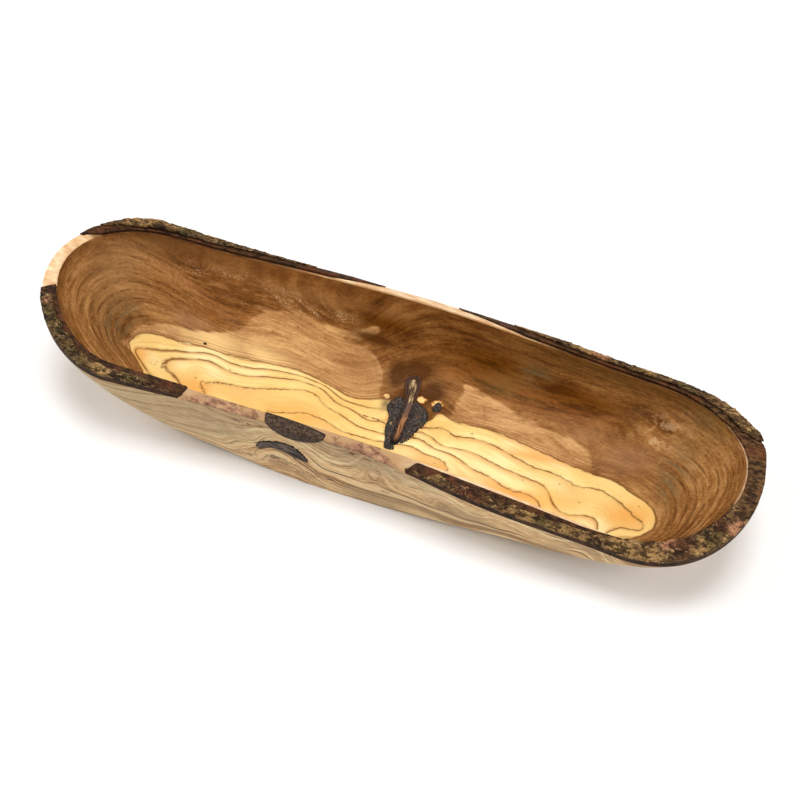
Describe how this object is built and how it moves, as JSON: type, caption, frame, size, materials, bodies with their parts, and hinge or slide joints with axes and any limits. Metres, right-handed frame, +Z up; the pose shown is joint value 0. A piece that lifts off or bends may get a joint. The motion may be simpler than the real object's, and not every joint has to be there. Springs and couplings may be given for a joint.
{
  "type": "wooden bread bowl",
  "caption": "Long boat-shaped bread bowl carved from half an olive log, with natural bark left along the rim and a knot in the floor.",
  "frame": {"origin": "middle of the bowl's outline, on the table plane under the flat foot", "axes": "+X runs along the bowl towards the lower rim tip, +Y across it towards the far side of the picture, +Z is up"},
  "size_m": [0.4, 0.1232, 0.0687],
  "materials": {
    "olive_wood": "oiled satin",
    "knot_wood": "oiled satin",
    "pocket_bark": "matt",
    "inner_bark": "satin",
    "outer_bark": "rough matt"
  },
  "bodies": {
    "root": {"bowl_body": "olive_wood", "knot_core": "knot_wood", "pin_knot": "knot_wood", "knot_bark_left": "pocket_bark", "knot_bark_right": "pocket_bark", "wall_bark_sliver": "pocket_bark", "bast_front_left": "inner_bark", "bast_front_middle": "inner_bark", "bast_front_knot": "inner_bark", "bast_front_right": "inner_bark", "bast_right_end": "inner_bark", "bast_back_right": "inner_bark", "bast_back_left": "inner_bark", "bark_front_left": "outer_bark", "bark_front_patch": "outer_bark", "bark_front_right": "outer_bark", "bark_right_end": "outer_bark", "bark_back_right": "outer_bark", "bark_back_left": "outer_bark"}
  },
  "joints": []
}
